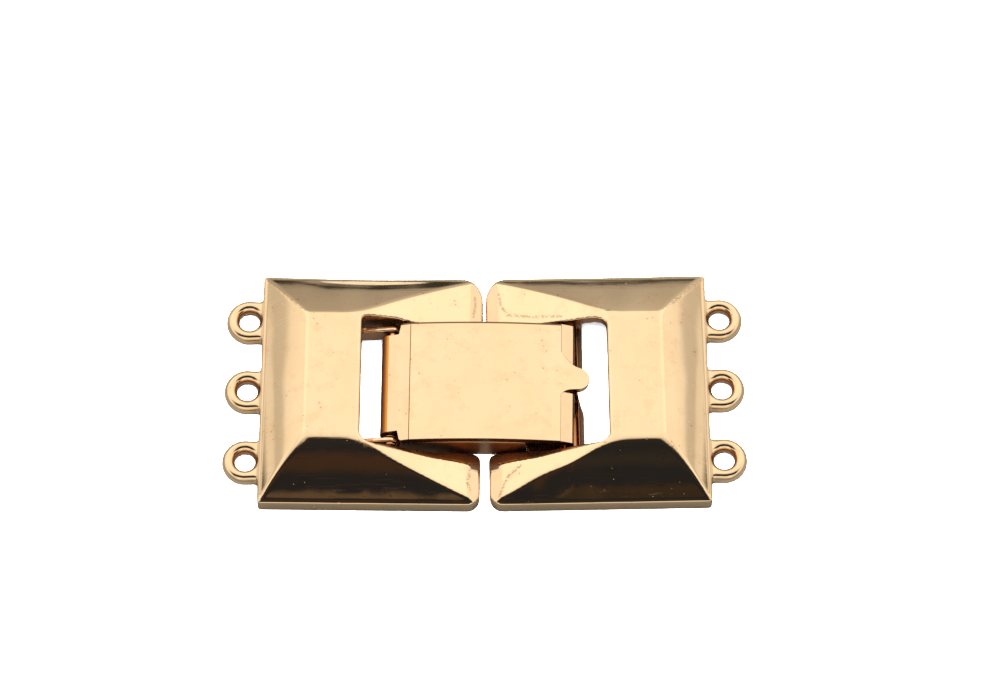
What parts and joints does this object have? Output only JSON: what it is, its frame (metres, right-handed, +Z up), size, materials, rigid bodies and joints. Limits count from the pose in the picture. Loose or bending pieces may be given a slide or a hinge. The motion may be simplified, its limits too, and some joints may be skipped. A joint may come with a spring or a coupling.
{
  "type": "three-strand fold over clasp",
  "caption": "Gold-plated jewellery clasp: two hipped hollow halves with strand eyes, joined under a hinged fold-over lid with a thumb tab that hooks into a catch plate.",
  "frame": {"origin": "under the middle of the seam, on the plane that the clasp lies on", "axes": "+X towards the half with the catch plate, +Y across the strands towards the narrow end of the seam, +Z up out of the lid"},
  "size_m": [0.04, 0.0196, 0.0037],
  "materials": {
    "cast_gold": "polished gold plate over a casting",
    "sheet_gold": "polished gold plate over rolled sheet",
    "pin_gold": "polished gold plate over wire"
  },
  "bodies": {
    "clasp_body": {"left_half": "cast_gold", "right_half": "cast_gold", "tongue": "sheet_gold", "hinge_pin": "pin_gold"},
    "lid": {"lid": "sheet_gold"}
  },
  "joints": [
    {"name": "lid_hinge", "type": "hinge", "parent": "clasp_body", "child": "lid", "pos_m": [-0.00719, -0.00003, 0.0018], "axis": [-0.0157, -0.9999, 0], "range_deg": [0, 95]}
  ]
}
